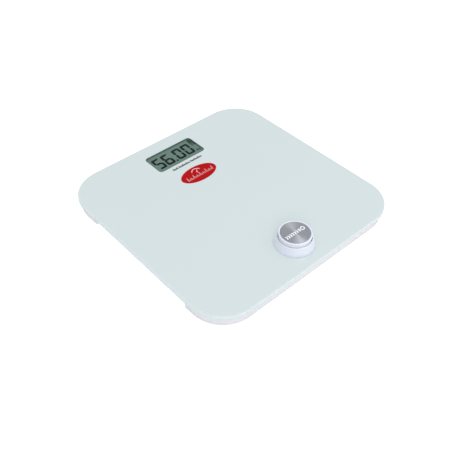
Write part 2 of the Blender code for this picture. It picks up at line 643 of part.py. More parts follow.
def build_gears():
    first_to_second = direction(FIRST_SHAFT, SECOND_SHAFT)
    second_to_rotor = direction(SECOND_SHAFT, ROTOR_SHAFT)
    first, second, rotor = map(shaft_place, (FIRST_SHAFT, SECOND_SHAFT, ROTOR_SHAFT))
    first_axis = add_object("first_gear_axis", None, first)
    second_axis = add_object("second_gear_axis", None, second)
    rotor_axis = add_object("rotor_axis", None, rotor)
    bore = circle(GEAR_BORE, 12)
    axle = circle(AXLE_R, 12)
    axle_profile = [(0, -AXLE_HALF), (AXLE_R, -AXLE_HALF), (AXLE_R, AXLE_HALF), (0, AXLE_HALF)]

    # levels are (outline, x0, x1)
    stack("first_gear", MAT_GEAR,
          [(pinion(FIRST_PINION_TEETH, 0.0), -3.3, 1.0),
           (wheel(FIRST_WHEEL_TEETH, first_to_second), 1.0, 2.6), (circle(1.8, 16), 2.6, 5.7)],
          [bore], location=first, parent=first_axis, axis="x")
    stack("second_gear", MAT_GEAR,
          [(circle(1.6, 16), -5.6, 0.6), (pinion(SECOND_PINION_TEETH, first_to_second), 0.6, 3.2),
           (wheel(SECOND_WHEEL_TEETH, second_to_rotor), 3.2, 5.0)],
          [bore], location=second, parent=second_axis, axis="x")
    turned("first_axle", MAT_BRIGHT, axle_profile, 12, first, axis="x")
    turned("second_axle", MAT_BRIGHT, axle_profile, 12, second, axis="x")
    stack("rotor_shaft", MAT_BRIGHT,
          [(axle, -AXLE_HALF, 3.0), (pinion(ROTOR_PINION_TEETH, second_to_rotor), 3.0, 5.2),
           (axle, 5.2, AXLE_HALF)], location=rotor, parent=rotor_axis, axis="x")

    # profiles are (r, x)
    turned("rotor_magnet", MAT_MAGNET,
           [(GEAR_BORE, -4.8), (2.2, -4.8), (2.4, -4.6), (2.4, 1.4), (2.2, 1.6),
            (GEAR_BORE, 1.6)], 20, rotor, parent=rotor_axis, axis="x", closed=True)
    turned("stator_coil", MAT_COPPER, [(2.8, -4.6), (4.1, -4.6), (4.1, 1.4), (2.8, 1.4)],
           24, rotor, axis="x", closed=True)
    turned("stator_can", MAT_STEEL,
           [(1.2, -5.8), (4.9, -5.8), (4.9, 2.5), (1.2, 2.5), (1.2, 1.9), (4.3, 1.9),
            (4.3, -5.2), (1.2, -5.2)], 24, rotor, axis="x", closed=True)


build_gears()

# ---------------------------------------------------------------- rack
RACK_PITCH_Y = FIRST_SHAFT[0] - GEAR_MODULE * FIRST_PINION_TEETH / 2
RACK_ADDENDUM, RACK_DEDENDUM = 0.34, 0.62
RACK_ROOT_Y = RACK_PITCH_Y - RACK_DEDENDUM
RACK_TIP_Y = RACK_PITCH_Y + RACK_ADDENDUM
RACK_BACK_Y = RACK_PITCH_Y - 3.2
RACK_Z0 = FIRST_SHAFT[1] - 4.4
RACK_Z1 = KNOB_TOP - 3.0
RACK_HEAD_Z0 = RACK_Z1 - 1.6


def build_rack():
    """Bar with a wider head; one tooth centre sits level with the first shaft."""
    pitch = math.pi * GEAR_MODULE
    half_tooth = (pitch / 2 - BACKLASH) / 2
    root_half = half_tooth + RACK_DEDENDUM * math.tan(PRESSURE_ANGLE)
    tip_half = half_tooth - RACK_ADDENDUM * math.tan(PRESSURE_ANGLE)
    outline = [(RACK_BACK_Y, RACK_Z0), (RACK_ROOT_Y, RACK_Z0)]
    for k in range(-2, 6):
        z = FIRST_SHAFT[1] + k * pitch
        outline += [(RACK_ROOT_Y, z - root_half), (RACK_TIP_Y, z - tip_half),
                    (RACK_TIP_Y, z + tip_half), (RACK_ROOT_Y, z + root_half)]
    outline += [(RACK_ROOT_Y, RACK_HEAD_Z0), (RACK_PITCH_Y + 4.2, RACK_HEAD_Z0),
                (RACK_PITCH_Y + 4.2, RACK_Z1), (RACK_BACK_Y - 2.4, RACK_Z1),
                (RACK_BACK_Y - 2.4, RACK_HEAD_Z0), (RACK_BACK_Y, RACK_HEAD_Z0)]
    plate("knob_rack", MAT_GEAR, outline, -3.0, 0.2, location=KNOB_PLACE, parent=knob_axis,
          axis="x")


build_rack()

# ---------------------------------------------------------------- return spring
SPRING_R, SPRING_WIRE_R = 15.65, 0.55
SPRING_Z0, SPRING_Z1 = 18.5, KNOB_TOP - 3.5
SPRING_TURNS = 5.0        # open turns
END_TURNS = 0.75          # nearly flat turns at each end
END_RISE = 0.12           # rise per turn at the ends
STEPS_PER_TURN = 12


def build_spring():
    """Coil spring around the gear frames."""
    total = SPRING_TURNS + 2 * END_TURNS
    open_rise = SPRING_Z1 - SPRING_Z0 - 2 * END_RISE * END_TURNS
    points = []
    for i in range(int(total * STEPS_PER_TURN) + 1):
        t = i / STEPS_PER_TURN
        if t < END_TURNS:
            z = SPRING_Z0 + END_RISE * t
        elif t > total - END_TURNS:
            z = SPRING_Z1 - END_RISE * (total - t)
        else:
            z = SPRING_Z0 + END_RISE * END_TURNS + open_rise * (t - END_TURNS) / SPRING_TURNS
        angle = 2 * math.pi * t
        points.append((SPRING_R * math.cos(angle), SPRING_R * math.sin(angle), z))
    sweep("return_spring", MAT_BRIGHT, points, SPRING_WIRE_R, KNOB_PLACE, bezier=False)


build_spring()

# ---------------------------------------------------------------- gear frames
# (y from the knob axis, z)
FRAME_OUTLINE = [
    (-14.0, 5.5), (20.2, 5.5), (20.2, 14.0), (17.6, 15.8), (12.2, 15.8), (12.2, 19.5),
    (9.0, 24.0), (3.0, 27.4), (-7.0, 27.4), (-11.6, 22.5), (-12.2, 15.8), (-14.0, 12.0)]
POSTS = [(-11.8, 8.2), (6.6, 24.0)]
FRAME_X_IN, FRAME_X_OUT = 6.2, 7.6     # faces of the frames, either side of the knob axis
FRAME_SCREW_HEAD_X = 7.9


def build_frames():
    """Two side plates; posts on the left one reach the right one and take its screws."""
    placing = {"location": KNOB_PLACE, "axis": "x"}
    axle_holes = [circle(0.83, 12, *FIRST_SHAFT), circle(0.83, 12, *SECOND_SHAFT),
                  circle(0.88, 12, *ROTOR_SHAFT)]
    screw_holes = [circle(0.95, 12, *post) for post in POSTS]
    left = plate("gear_frame_left", MAT_TRAY, FRAME_OUTLINE, -FRAME_X_OUT, -FRAME_X_IN,
                 axle_holes, **placing)
    for i, centre in enumerate(POSTS):
        post = plate(f"post_{i}", MAT_TRAY, circle(1.7, 14, *centre), -7.0, 6.1, **placing)
        boolean(left, post, "UNION")
        core = plate(f"core_{i}", MAT_TRAY, circle(0.75, 10, *centre), -1.0, 8.0, **placing)
        boolean(left, core, "DIFFERENCE")
    plate("gear_frame_right", MAT_TRAY, FRAME_OUTLINE, FRAME_X_IN, FRAME_X_OUT,
          axle_holes + screw_holes, **placing)
    for i, (y, z) in enumerate(POSTS):
        stack(f"frame_screw_{i + 1}", MAT_BRIGHT,
              [(circle(0.62, 8), 0.0, FRAME_SCREW_HEAD_X),
               (circle(1.7, 12), FRAME_SCREW_HEAD_X, 9.0)],
              location=(0, KNOB_Y + y, z), smooth=35, axis="x")


build_frames()

# ---------------------------------------------------------------- cables
CELL_CABLE_R, GENERATOR_CABLE_R = 0.9, 0.8
# (x, y, z) on the right side, mirrored to the left
BACK_CABLE = [
    (FOOT_XY - 15.5, FOOT_XY, 9.0), (FOOT_XY - 24, FOOT_XY, 9.0), (80.0, 104.0, 8.6),
    (66.0, 86.0, 8.2), (58.6, 82.0, 9.0)]
FRONT_CABLE = [
    (FOOT_XY - 15.5, -FOOT_XY, 9.0), (FOOT_XY - 23.5, -FOOT_XY, 9.0), (79.0, -88.0, 12.3),
    (77.0, -45.0, 13.3), (77.0, 30.0, 13.3), (72.0, 62.0, 12.4), (58.6, 75.0, 9.2)]
GENERATOR_CABLE = [
    (-4.0, KNOB_Y + 22.2, 8.0), (-4.0, KNOB_Y + 30.0, 8.2), (-12.0, -60.0, 12.8),
    (-13.0, -8.0, 13.2), (-12.0, 40.0, 12.0), (-10.0, 60.0, 9.6), (-10.0, 67.2, 9.4)]

for foot_name, (side_x, side_y) in FEET.items():
    route = BACK_CABLE if side_y > 0 else FRONT_CABLE
    sweep(f"cell_cable_{foot_name}", MAT_CABLE, [(side_x * x, y, z) for x, y, z in route],
          CELL_CABLE_R)
sweep("generator_cable", MAT_CABLE, GENERATOR_CABLE, GENERATOR_CABLE_R)
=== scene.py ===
"""Looks for a glass-topped body scale, built round its CAD frame.

The scale lies flat: Z is up, the underside is near zero and the platform is square to X and Y.
Towards +Y of the glass are the printed marks; a round press knob stands above it. Lengths are
millimetres in the frame's axes, and meshes are stored in metres. The outside pieces are rebuilt
here with finer outlines than the CAD solids; the inside ones are the CAD solids with finished
materials.
"""

import functools
import math

import bpy
import bmesh
from mathutils import Matrix, Vector
from mathutils.geometry import tessellate_polygon

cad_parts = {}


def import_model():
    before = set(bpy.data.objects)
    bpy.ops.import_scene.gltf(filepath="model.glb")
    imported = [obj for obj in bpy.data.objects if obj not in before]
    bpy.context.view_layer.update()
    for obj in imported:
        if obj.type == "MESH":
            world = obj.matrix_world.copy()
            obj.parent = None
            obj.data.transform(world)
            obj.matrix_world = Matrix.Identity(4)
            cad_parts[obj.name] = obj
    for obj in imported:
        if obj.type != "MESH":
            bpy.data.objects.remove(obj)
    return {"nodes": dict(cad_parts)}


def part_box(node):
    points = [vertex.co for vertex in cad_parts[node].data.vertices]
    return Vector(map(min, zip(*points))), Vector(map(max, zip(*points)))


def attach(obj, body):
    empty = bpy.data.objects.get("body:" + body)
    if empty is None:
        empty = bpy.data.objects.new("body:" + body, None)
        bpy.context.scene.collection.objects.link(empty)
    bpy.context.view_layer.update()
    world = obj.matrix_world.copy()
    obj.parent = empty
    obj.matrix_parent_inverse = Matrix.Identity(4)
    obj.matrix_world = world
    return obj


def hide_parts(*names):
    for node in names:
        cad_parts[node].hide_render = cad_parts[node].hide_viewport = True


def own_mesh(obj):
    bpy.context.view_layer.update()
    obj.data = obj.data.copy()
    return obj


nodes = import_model()["nodes"]
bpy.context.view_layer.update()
MM = 0.001


# ------------------------------------------------------------------ places taken from the frame
def span(node):
    """The low and high corners of a CAD node, in millimetres."""
    low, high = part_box(node)
    return [v / MM for v in low], [v / MM for v in high]


def middle(low, high):
    return (low[0] + high[0]) / 2, (low[1] + high[1]) / 2


def half_width(node):
    low, high = span(node)
    return (high[0] - low[0]) / 2


GLASS_BOTTOM = span("glass_platform")[0][2]
GLASS_TOP = span("glass_platform")[1][2]
GLASS_HALF = half_width("glass_platform")
GLASS_CORNER = 47.0
EDGE_IN, EDGE_DROP = 0.8, 0.75      # rounded top edge: its width and its height
UNDER_IN, UNDER_RISE = 0.8, 0.6     # rounded bottom edge, likewise
BORDER = 1.4                        # clear band inside the top edge
HOLE_R, HOLE_CHAMFER = 21.6, 0.4    # hole in the glass under the knob

KNOB = KNOB_X, KNOB_Y = middle(*span("knob_disc"))
KNOB_TOP = span("knob_cap")[1][2]
CAP_R = half_width("knob_cap")
COLLAR_R = half_width("knob_collar")
LIP_Z = span("knob_collar")[1][2]

LCD_X, LCD_Y = middle(*span("lcd_panel"))
WIN_X, WIN_Y = LCD_X - 0.9, LCD_Y
WIN_HALF_X, WIN_HALF_Y, WIN_R = 38.0, 18.4, 5.0
LCD_TOP = GLASS_TOP - 1.7
SEGMENT_Z = (LCD_TOP + 0.02, LCD_TOP + 0.08)
PRINT_Z = GLASS_TOP + 0.02

CORNERS = ("front_left", "front_right", "back_left", "back_right")


# ------------------------------------------------------------------ node helpers
class Nodes:
    """A node tree with short helpers. An input is given a value or another node's output."""

    def __init__(self, tree):
        self.tree = tree

    def feed(self, socket, value):
        if isinstance(value, bpy.types.NodeSocket):
            self.tree.links.new(value, socket)
        elif socket.type == "RGBA":
            socket.default_value = (*value, 1.0)
        else:
            socket.default_value = value

    def node(self, kind, inputs=None, **props):
        made = self.tree.nodes.new(kind)
        for name, value in props.items():
            setattr(made, name, value)
        for key, value in (inputs or {}).items():
            self.feed(made.inputs[key], value)
        return made

    def math(self, operation, *values, **props):
        inputs = dict(enumerate(values))
        return self.node("ShaderNodeMath", inputs, operation=operation, **props).outputs[0]


class Paint(Nodes):
    """A Principled material. Texture scales are per metre and bump depths are metres."""

    def __init__(self, name, base, rough, metal=0.0, **inputs):
        self.material = bpy.data.materials.new(name)
        self.material.use_nodes = True
        super().__init__(self.material.node_tree)
        self.material.diffuse_color = (*base, 1.0)
        self.set(Base_Color=base, Roughness=rough, Metallic=metal, **inputs)

    def set(self, **inputs):
        shader = self.tree.nodes["Principled BSDF"]
        for name, value in inputs.items():
            self.feed(shader.inputs[name.replace("_", " ")], value)

    def coords(self):
        return self.node("ShaderNodeTexCoord").outputs["Object"]

    def noise(self, scale, detail=3.0, rough=0.55, vector=None):
        return self.node("ShaderNodeTexNoise", {
            "Scale": scale, "Detail": detail, "Roughness": rough,
            "Vector": self.coords() if vector is None else vector}).outputs["Fac"]

    def remap(self, value, source, target):
        return self.node("ShaderNodeMapRange", {
            "Value": value, "From Min": source[0], "From Max": source[1],
            "To Min": target[0], "To Max": target[1]}).outputs["Result"]

    def mix(self, factor, first, second):
        inputs = {0: factor, 6: first, 7: second}
        return self.node("ShaderNodeMix", inputs, data_type="RGBA").outputs[2]

    def bump(self, height, strength, depth):
        inputs = {"Strength": strength, "Distance": depth, "Height": height}
        self.set(Normal=self.node("ShaderNodeBump", inputs).outputs["Normal"])


def blank(owner):
    """Empties the node tree of a material or world."""
    owner.use_nodes = True
    owner.node_tree.nodes.clear()
    return Nodes(owner.node_tree)


def srgb(*channels):
    """Linear colour from 0-255 channels."""
    parts = [c / 255.0 for c in channels]
    return tuple(c / 12.92 if c <= 0.04045 else ((c + 0.055) / 1.055) ** 2.4 for c in parts)


def darker(rgb, share):
    return tuple(c * (1 - share) for c in rgb)


# ------------------------------------------------------------------ kinds of material
def mottled(name, base, rough, dark, light, scale, detail=3.0, bump_scale=None, depth=1e-5,
            **inputs):
    """A surface that drifts between two shades, with an optional fine bump."""
    paint = Paint(name, base, rough, **inputs)
    paint.set(Base_Color=paint.mix(paint.noise(scale, detail), dark, light))
    if bump_scale:
        paint.bump(paint.noise(bump_scale, detail), strength=0.3, depth=depth)
    return paint.material


def plastic(name, rgb, rough, grain=1400.0, depth=1e-5, coat=0.0, sss=0.0, vary=0.03, **inputs):
    """Moulded plastic: a fine etched grain, slow shade drift and uneven sheen."""
    paint = Paint(name, rgb, rough, Coat_Weight=coat, Coat_Roughness=0.06, **inputs)
    if sss:
        paint.set(Subsurface_Weight=sss, Subsurface_Radius=(0.0012, 0.0012, 0.0014))
    drift = paint.noise(scale=18.0, detail=2.0)
    paint.set(Base_Color=paint.mix(drift, darker(rgb, vary), rgb))
    fine = paint.noise(grain, detail=2.0)
    sheen = paint.noise(grain * 0.2, detail=2.0)
    target = (max(rough - 0.05, 0.02), rough + 0.06)
    paint.set(Roughness=paint.remap(sheen, source=(0.3, 0.7), target=target))
    paint.bump(fine, strength=0.35, depth=depth)
    return paint.material


def metal(name, rgb, rough, stretch=None, vary=0.08):
    """Metal with a drawn or stamped grain. stretch scales the grain's coordinates by axis."""
    paint = Paint(name, rgb, rough, metal=1.0)
    vector = paint.coords()
    if stretch:
        inputs = {"Scale": stretch, "Vector": vector}
        vector = paint.node("ShaderNodeMapping", inputs).outputs["Vector"]
    grain = paint.noise(scale=900.0, vector=vector)
    paint.set(Base_Color=paint.mix(paint.noise(scale=60.0), darker(rgb, vary), rgb))
    target = (max(rough - 0.08, 0.05), rough + 0.12)
    paint.set(Roughness=paint.remap(grain, source=(0.25, 0.75), target=target))
    paint.bump(grain, strength=0.25, depth=1e-5)
    return paint.material


# ------------------------------------------------------------------ patterned materials
def striped_rubber():
    paint = Paint("striped_rubber", (0.02, 0.02, 0.02), rough=0.7)
    inputs = {"Scale": 320.0, "Vector": paint.coords()}
    wave = paint.node("ShaderNodeTexWave", inputs, bands_direction="X")
    ramp = paint.node("ShaderNodeValToRGB", {"Fac": wave.outputs["Fac"]})
    stops = ((0.45, (0.015, 0.015, 0.015)), (0.55, srgb(188, 150, 150)))
    for element, (position, color) in zip(ramp.color_ramp.elements, stops):
        element.position = position
        element.color = (*color, 1.0)
    paint.set(Base_Color=ramp.outputs["Color"])
    return paint.material


def circuit_board():
    paint = Paint("circuit_board", srgb(22, 92, 52), rough=0.38,
                  Coat_Weight=0.3, Coat_Roughness=0.2)
    brick = paint.node("ShaderNodeTexBrick", {
        "Scale": 160.0, "Mortar Size": 0.06, "Color1": srgb(20, 88, 50),
        "Color2": srgb(24, 98, 56), "Mortar": srgb(48, 132, 78), "Vector": paint.coords()})
    paint.set(Base_Color=brick.outputs["Color"])
    paint.bump(brick.outputs["Fac"], strength=0.3, depth=3e-5)
    return paint.material


def lcd_face():
    """Grey-green, darkened towards its rim by painted shade, with the fine grain of a reflector
    film.
    """
    blend, rim_width = 0.002, 0.003
    paint = Paint("lcd_face", srgb(128, 152, 142), rough=0.4)
    place = paint.node("ShaderNodeSeparateXYZ", {0: paint.coords()}).outputs
    gaps = []
    for axis, centre, half in (("X", WIN_X, WIN_HALF_X), ("Y", WIN_Y, WIN_HALF_Y)):
        offset = paint.math("ABSOLUTE", paint.math("SUBTRACT", place[axis], centre * MM))
        gaps.append(paint.math("SUBTRACT", half * MM, offset))
    rim = paint.math("SMOOTH_MIN", *gaps, blend)
    shade = paint.remap(rim, source=(0.0, rim_width), target=(0.0, 1.0))
    grain = paint.noise(scale=1500.0)
    body = paint.mix(grain, srgb(92, 115, 108), srgb(105, 130, 121))
    # srgb(70, 90, 85) is painted shade round the rim, as if the window's edge shaded the display
    paint.set(Base_Color=paint.mix(shade, srgb(70, 90, 85), body))
    paint.bump(grain, strength=0.2, depth=2e-5)
    return paint.material


def clear_window():
    """A clear pane, seen mostly by the reflection on its outward faces."""
    film = 0.3      # antireflection film: a third of bare glass
    material = bpy.data.materials.new("clear_window")
    pane = blank(material)
    clear = pane.node("ShaderNodeBsdfTransparent", {"Color": (0.97, 1.0, 0.99)})
    glossy = pane.node("ShaderNodeBsdfGlossy", {"Roughness": 0.015})
    fresnel = pane.node("ShaderNodeFresnel", {"IOR": 1.5}).outputs[0]
    backfacing = pane.node("ShaderNodeNewGeometry").outputs["Backfacing"]
    front = pane.math("SUBTRACT", 1.0, backfacing, use_clamp=True)
    share = pane.math("MULTIPLY", pane.math("MULTIPLY", fresnel, front), film)
    inputs = {0: share, 1: clear.outputs[0], 2: glossy.outputs[0]}
    mixed = pane.node("ShaderNodeMixShader", inputs)
    pane.node("ShaderNodeOutputMaterial", {0: mixed.outputs[0]})
    return material


def spun_metal():
    """Circular turning marks stretch the highlights out along the radius."""
    paint = Paint("spun_metal_face", srgb(206, 210, 218), rough=0.3, metal=1.0, Anisotropic=0.86)
    level = (1, 1, 0)       # drops the height from a vector
    centred = paint.node("ShaderNodeMapping", {
        "Location": (-KNOB_X * MM, -KNOB_Y * MM, 0), "Vector": paint.coords()}).outputs[0]
    outward = paint.node("ShaderNodeMapping", {"Scale": level, "Vector": centred},
                         vector_type="VECTOR").outputs[0]
    unit = paint.node("ShaderNodeVectorMath", {0: outward}, operation="NORMALIZE")
    paint.set(Tangent=unit.outputs[0])
    flat = paint.node("ShaderNodeVectorMath", {0: centred, 1: level}, operation="MULTIPLY")
    length = paint.node("ShaderNodeVectorMath", {0: flat.outputs[0]}, operation="LENGTH")
    along = paint.node("ShaderNodeCombineXYZ", {0: length.outputs["Value"]}).outputs[0]
    rings = paint.noise(scale=2600.0, detail=4.0, rough=0.75, vector=along)
    tone = paint.remap(rings, source=(0.3, 0.7), target=(0.0, 1.0))
    paint.set(Base_Color=paint.mix(tone, srgb(156, 161, 168), srgb(199, 203, 209)))
    paint.set(Roughness=paint.remap(rings, source=(0.3, 0.7), target=(0.45, 0.55)))
    return paint.material


# ------------------------------------------------------------------ the materials
# glass painted on its underside: paint colour under a clear polished surface
POLISHED = dict(Coat_Weight=1.0, Coat_Roughness=0.015, Coat_IOR=1.5, Specular_IOR_Level=0.15)
GLASS_FACE = mottled("glass_painted_face", srgb(216, 229, 230), rough=0.42,
                     dark=srgb(210, 221, 222), light=srgb(212, 223, 224),
                     scale=6.0, detail=2.0, **POLISHED)
GLASS_BAND = mottled("glass_clear_band", srgb(219, 231, 232), rough=0.42,
                     dark=srgb(213, 225, 226), light=srgb(216, 227, 228),
                     scale=6.0, detail=2.0, **POLISHED)
GLASS_EDGE = mottled("glass_ground_edge", srgb(226, 236, 238), rough=0.35,
                     dark=srgb(224, 234, 236), light=srgb(231, 240, 242),
                     scale=260.0, detail=2.0, bump_scale=1500.0,
                     Coat_Weight=0.25, Coat_Roughness=0.25,
                     Subsurface_Weight=0.35, Subsurface_Radius=(0.003, 0.004, 0.004))
GLASS_BACK = mottled("glass_back_paint", srgb(226, 233, 235), rough=0.5,
                     dark=srgb(220, 228, 230), light=srgb(230, 237, 239),
                     scale=90.0, bump_scale=700.0, depth=2e-5,
                     Coat_Weight=0.2, Coat_Roughness=0.3)
WINDOW_WALL = mottled("window_wall", srgb(104, 124, 120), rough=0.55,
                      dark=srgb(92, 112, 108), light=srgb(116, 134, 130), scale=400.0)

KNOB_WHITE = plastic("knob_gloss_white", srgb(229, 234, 247), rough=0.16, grain=900.0,
                     depth=4e-6, coat=0.5, sss=0.12, vary=0.02)
# the knob's plastic where it lines the groove: greyer than the knob's white as painted shade, and
# its emission is a painted glow that lightens the groove; the subsurface translucency is real
KNOB_GROOVE_SHADE_GLOW = plastic("knob_groove_painted_shade_glow", srgb(222, 225, 231), rough=0.4, grain=900.0,
                    depth=4e-6, sss=0.3, vary=0.02,
                    Emission_Color=srgb(232, 233, 236), Emission_Strength=0.08)
TRAY = plastic("tray_satin_white", srgb(240, 240, 245), rough=0.42, grain=1500.0, depth=2e-5,
               sss=0.08)
INNER = plastic("inner_white", srgb(226, 228, 230), rough=0.5, grain=1100.0, depth=2e-5)
ACETAL = plastic("acetal", srgb(236, 230, 210), rough=0.35, grain=1000.0, sss=0.15)
BLACK = plastic("moulded_black", (0.018, 0.018, 0.02), rough=0.45, grain=1300.0, depth=2e-5,
                vary=0.3)
RESIN = plastic("black_resin", (0.010, 0.010, 0.011), rough=0.12, grain=300.0, depth=3e-5,
                coat=0.6, vary=0.3)
SLEEVE = plastic("capacitor_sleeve", (0.012, 0.016, 0.050), rough=0.25, grain=600.0, vary=0.25)
CABLE = plastic("cable_sleeve", srgb(200, 201, 203), rough=0.55, grain=700.0, depth=4e-5)
LABEL = plastic("label_film", srgb(214, 216, 218), rough=0.5, grain=500.0, vary=0.02)
RUBBER = plastic("foot_rubber", srgb(212, 213, 213), rough=0.8, grain=1000.0, depth=5e-5,
                 vary=0.08)
STRIPED = striped_rubber()

BRIGHT = metal("plated_steel", srgb(205, 206, 208), rough=0.2)
STEEL = metal("stamped_steel", srgb(176, 178, 180), rough=0.34, stretch=(1, 9, 1))
SPRING_WIRE = metal("spring_wire", srgb(186, 187, 190), rough=0.26, stretch=(1, 1, 6))
MAGNET = metal("sintered_magnet", srgb(98, 98, 101), rough=0.5, vary=0.2)
COPPER = metal("enamelled_copper", srgb(196, 104, 58), rough=0.3, stretch=(30, 1, 1), vary=0.25)
TAPE = plastic("foam_tape", srgb(196, 200, 206), rough=0.9, grain=500.0, depth=1e-4, vary=0.1)
BOARD = circuit_board()

RED_PRINT = mottled("printed_red", srgb(203, 22, 36), rough=0.6, dark=srgb(171, 17, 22),
                    light=srgb(189, 25, 30), scale=40.0, Specular_IOR_Level=0.02)
WHITE_PRINT = mottled("printed_white", srgb(246, 240, 240), rough=0.45,
                      dark=srgb(236, 206, 208), light=srgb(246, 220, 222), scale=300.0,
                      Coat_Weight=0.3, Coat_Roughness=0.05)
KNOB_PRINT = mottled("knob_print_white", srgb(252, 252, 252), rough=0.4,
                     dark=srgb(246, 247, 250), light=srgb(254, 254, 255), scale=300.0)
GREY_PRINT = mottled("printed_grey", srgb(44, 50, 52), rough=0.5, dark=srgb(22, 26, 28),
                     light=srgb(38, 42, 44), scale=500.0,
                     Coat_Weight=0.12, Coat_Roughness=0.05, Specular_IOR_Level=0.1)
SEGMENT = mottled("lcd_segment", srgb(8, 18, 16), rough=0.6, dark=srgb(5, 12, 11),
                  light=srgb(12, 24, 22), scale=350.0, Specular_IOR_Level=0.05)
LCD = lcd_face()
PANE = clear_window()
SPUN = spun_metal()


# ------------------------------------------------------------------ outlines
def ccw(points):
    area = sum(p[0] * q[1] - q[0] * p[1] for p, q in zip(points, points[1:] + points[:1]))
    return points if area > 0 else points[::-1]


def shifted(points, x, y):
    return [(x + px, y + py) for px, py in points]


def ellipse(radius_x, radius_y, count, x, y):
    turns = [2 * math.pi * i / count for i in range(count)]
    return [(x + radius_x * math.cos(a), y + radius_y * math.sin(a)) for a in turns]


def circle(radius, count, x, y):
    return ellipse(radius, radius, count, x, y)


def rounded(half_x, half_y, radius, steps, x=0.0, y=0.0):
    """A rectangle with rounded corners of so many steps each."""
    points = []
    for k, (side_x, side_y) in enumerate(((1, 1), (-1, 1), (-1, -1), (1, -1))):
        for i in range(steps + 1):
            a = math.pi / 2 * (k + i / steps)
            points.append((x + side_x * (half_x - radius) + radius * math.cos(a),
                           y + side_y * (half_y - radius) + radius * math.sin(a)))
    return points


def window(inset, corner_inset):
    return rounded(WIN_HALF_X - inset, WIN_HALF_Y - inset, WIN_R - corner_inset, 10, WIN_X, WIN_Y)


def smooth_curve(points, steps):
    """Catmull-Rom through (r, z) points."""
    curve = []
    for i in range(len(points) - 1):
        four = (points[max(i - 1, 0)], points[i], points[i + 1],
                points[min(i + 2, len(points) - 1)])
        for s in range(steps):
            t = s / steps
            curve.append(tuple(
                0.5 * (2 * b + (c - a) * t + (2 * a - 5 * b + 4 * c - d) * t * t
                       + (3 * b - a - 3 * c + d) * t ** 3)
                for a, b, c, d in zip(*four)))
    curve.append(points[-1])
    return curve


# ------------------------------------------------------------------ mesh helpers
def ring(solid, points, z):
    return [solid.verts.new((x, y, z)) for x, y in points]


def wall(solid, lower, upper, slot=0, smooth=True):
    count = len(lower)
    for i in range(count):
        j = (i + 1) % count
        face = solid.faces.new((lower[i], lower[j], upper[j], upper[i]))
        face.material_index = slot
        face.smooth = smooth


def cap(solid, loops, slot=0, flip=False):
    """Fills an outline, less the holes that follow it. It faces up, or down when flipped."""
    verts = [v for loop in loops for v in loop]
    for triangle in tessellate_polygon([[v.co for v in loop] for loop in loops]):
        corners = [verts[i] for i in triangle]
        if len(set(corners)) < 3:
            continue
        a, b, c = (v.co for v in corners)
        up = (b - a).cross(c - a).z
        if abs(up) < 1e-9:
            continue
        if (up < 0) != flip:
            corners = corners[::-1]
        # the tessellation may repeat a triangle, and a face can be made only once
        try:
            face = solid.faces.new(corners)
        except ValueError:
            continue
        face.material_index = slot
        face.smooth = False


def add_object(name, data):
    made = bpy.data.objects.new(name, data)
    bpy.context.scene.collection.objects.link(made)
    return made


def make(solid, name, materials, body, replaces=None, angle=None):
    """Turns a solid in millimetres into an object. Edges sharper than angle stay sharp."""
    for v in solid.verts:
        v.co *= MM
    bmesh.ops.remove_doubles(solid, verts=solid.verts, dist=1e-8)
    bmesh.ops.recalc_face_normals(solid, faces=solid.faces)
    mesh = bpy.data.meshes.new(name)
    solid.to_mesh(mesh)
    solid.free()
    for material in materials:
        mesh.materials.append(material)
    if angle:
        mesh.shade_smooth()
        mesh.set_sharp_from_angle(angle=math.radians(angle))
    made = add_object(name, mesh)
    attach(made, body)
    if replaces:
        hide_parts(replaces)
    return made


def lathe(name, profile, materials, body, centre, count, replaces, closed=False, angle=35,
          pick=lambda r, z: 0):
    """Turns (r, z) points about a vertical axis. pick(r, z) gives a face's material slot."""
    solid = bmesh.new()
    rings = []
    for r, z in profile:
        if r < 1e-6:
            rings.append([solid.verts.new((*centre, z))])
        else:
            rings.append(ring(solid, circle(r, count, *centre), z))
    for k in range(0 if closed else 1, len(profile)):
        first, second = rings[k - 1], rings[k]
        material = pick(*((p + q) / 2 for p, q in zip(profile[k - 1], profile[k])))
        for i in range(count):
            j = (i + 1) % count
            if len(first) == 1:
                corners = (first[0], second[j], second[i])
            elif len(second) == 1:
                corners = (first[i], first[j], second[0])
            else:
                corners = (first[i], first[j], second[j], second[i])
            solid.faces.new(corners).material_index = material
    return make(solid, name, materials, body, replaces, angle)


def slab(name, shapes, heights, material, body):
    """Flat pieces of one height. Each shape is an outline, or (outline, holes)."""
    solid = bmesh.new()
    for shape in shapes:
        outline, holes = shape if isinstance(shape, tuple) else (shape, [])
        low, high = ([ring(solid, ccw(loop), z) for loop in (outline, *holes)] for z in heights)
        for lower, upper in zip(low, high):
            wall(solid, lower, upper, smooth=False)
        cap(solid, low, flip=True)
        cap(solid, high)
    make(solid, name, [material], body)


